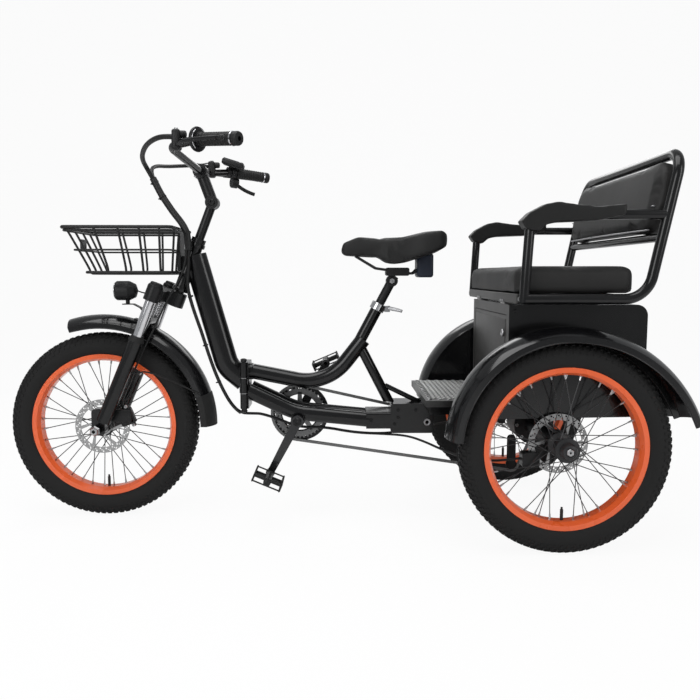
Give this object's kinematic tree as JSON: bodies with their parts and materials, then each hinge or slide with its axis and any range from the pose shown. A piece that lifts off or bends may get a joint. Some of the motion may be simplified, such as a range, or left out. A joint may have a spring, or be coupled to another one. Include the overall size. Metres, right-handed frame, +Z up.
{
  "type": "folding passenger tricycle with a rear bench (cycle rickshaw)",
  "caption": "Folding step-through cycle rickshaw: spoked wheels, saddle, front basket and a padded rear bench with armrests over a lockable box.",
  "frame": {"origin": "centre of the footprint on the ground, midway between the front tyre's nose and the rear fenders' tips", "axes": "+X forward, +Y to the rider's left, +Z up"},
  "size_m": [1.898, 0.78, 1.0714],
  "materials": {
    "alloy": "machined",
    "black_plastic": "moulded",
    "bright_metal": "polished",
    "frame_paint": "gloss black powder coat",
    "gloss_black": "gloss",
    "rim_paint": "orange gloss paint",
    "rubber": "moulded rubber",
    "satin_black": "satin black paint",
    "steel": "brushed",
    "tread_plate": "raised tread, scuffed",
    "tyre": "moulded tread",
    "vinyl": "grained black vinyl"
  },
  "bodies": {
    "chassis": {"lower_tubes": "frame_paint", "upper_tube": "frame_paint", "seat_clamp": "alloy", "seat_post": "satin_black", "saddle": "vinyl", "saddle_carriage": "satin_black", "rear_frame": "frame_paint", "rear_axle": "satin_black", "footboard": "tread_plate", "locker_box": "frame_paint", "bench_frame": "frame_paint", "seat_cushion": "vinyl", "back_cushion": "vinyl", "armrest_pads": "black_plastic", "left_fender": "gloss_black", "right_fender": "gloss_black", "rear_calipers": "satin_black", "chain": "steel", "chain_tensioner": "satin_black", "freewheel": "steel"},
    "front_frame": {"main_tube": "frame_paint", "fold_lever": "satin_black", "basket": "satin_black", "basket_bracket": "satin_black"},
    "steering": {"fork_crown": "gloss_black", "fork_stanchions": "bright_metal", "fork_lowers": "frame_paint", "front_fender": "gloss_black", "stem": "satin_black", "handlebar": "satin_black", "grips": "rubber", "headlamp": "gloss_black", "lamp_bracket": "satin_black"},
    "front_wheel": {"front_tyre": "tyre", "front_rim": "rim_paint", "front_hub": "satin_black", "front_brake_disc": "steel"},
    "rear_left_wheel": {"rear_left_tyre": "tyre", "rear_left_rim": "rim_paint", "rear_left_hub": "satin_black", "rear_left_brake_disc": "steel"},
    "rear_right_wheel": {"rear_right_tyre": "tyre", "rear_right_rim": "rim_paint", "rear_right_hub": "satin_black", "rear_right_brake_disc": "steel"},
    "crankset": {"cranks": "satin_black", "chainring": "satin_black"},
    "left_pedal_body": {"left_pedal": "black_plastic"},
    "right_pedal_body": {"right_pedal": "black_plastic"},
    "door": {"locker_door": "frame_paint"}
  },
  "joints": [
    {"name": "frame_fold", "type": "hinge", "parent": "chassis", "child": "front_frame", "pos_m": [0.25577, 0.047, 0.3955], "axis": [0, 0, 1], "range_deg": [0, 90]},
    {"name": "steering_turn", "type": "hinge", "parent": "front_frame", "child": "steering", "pos_m": [0.44603, 0, 0.672], "axis": [-0.3665, 0, 0.9304], "range_deg": [-40, 40]},
    {"name": "front_wheel_spin", "type": "hinge", "parent": "steering", "child": "front_wheel", "pos_m": [0.67402, 0, 0.275], "axis": [0, 1, 0], "continuous": true},
    {"name": "rear_left_spin", "type": "hinge", "parent": "chassis", "child": "rear_left_wheel", "pos_m": [-0.60198, 0.33, 0.275], "axis": [0, 1, 0], "continuous": true},
    {"name": "rear_right_spin", "type": "hinge", "parent": "chassis", "child": "rear_right_wheel", "pos_m": [-0.60198, -0.33, 0.275], "axis": [0, 1, 0], "continuous": true},
    {"name": "crank_spin", "type": "hinge", "parent": "chassis", "child": "crankset", "pos_m": [0.09803, 0, 0.294], "axis": [0, 1, 0], "continuous": true},
    {"name": "left_pedal_spin", "type": "hinge", "parent": "crankset", "child": "left_pedal_body", "pos_m": [0.1783, 0.142, 0.14302], "axis": [0, 1, 0], "continuous": true},
    {"name": "right_pedal_spin", "type": "hinge", "parent": "crankset", "child": "right_pedal_body", "pos_m": [0.01775, -0.142, 0.44498], "axis": [0, 1, 0], "continuous": true},
    {"name": "door_drop", "type": "hinge", "parent": "chassis", "child": "door", "pos_m": [-0.46968, 0, 0.392], "axis": [0, 1, 0], "range_deg": [0, 88]}
  ]
}
